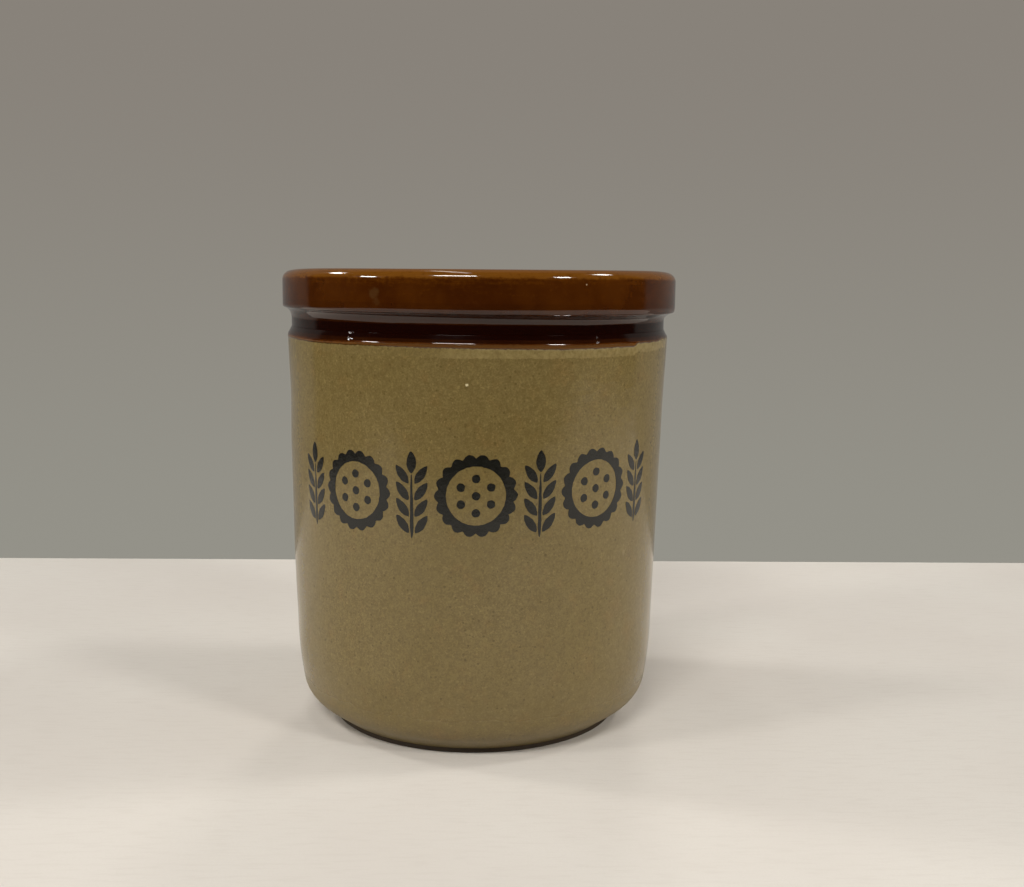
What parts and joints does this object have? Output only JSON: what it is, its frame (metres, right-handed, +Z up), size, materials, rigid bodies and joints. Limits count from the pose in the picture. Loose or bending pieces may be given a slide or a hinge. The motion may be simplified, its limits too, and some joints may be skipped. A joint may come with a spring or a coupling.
{
  "type": "biscuit jar",
  "caption": "Straight-sided stoneware crock with a brown-glazed collar over a tie-down groove, and a drop-in lid with a sunken knob on a seat inside the mouth.",
  "frame": {"origin": "centre of the foot, on the surface that the jar stands on", "axes": "+Z up along the jar's axis, -Y is the decorated front"},
  "size_m": [0.176, 0.176, 0.2025],
  "materials": {
    "tan_stoneware": "satin tan glaze with fine iron specks, dipped in glossy brown glaze above the shoulder, bare clay on the foot ring and the lid seat",
    "brown_glazed_stoneware": "glossy dark brown glaze, amber where it runs thin over edges, bare clay where the lid rests"
  },
  "bodies": {
    "crock": {"crock": "tan_stoneware"},
    "lid": {"lid": "brown_glazed_stoneware"}
  },
  "joints": [
    {"name": "lid_lift", "type": "slide", "parent": "crock", "child": "lid", "axis": [0, 0, 1], "range_m": [0, 0.06]}
  ]
}
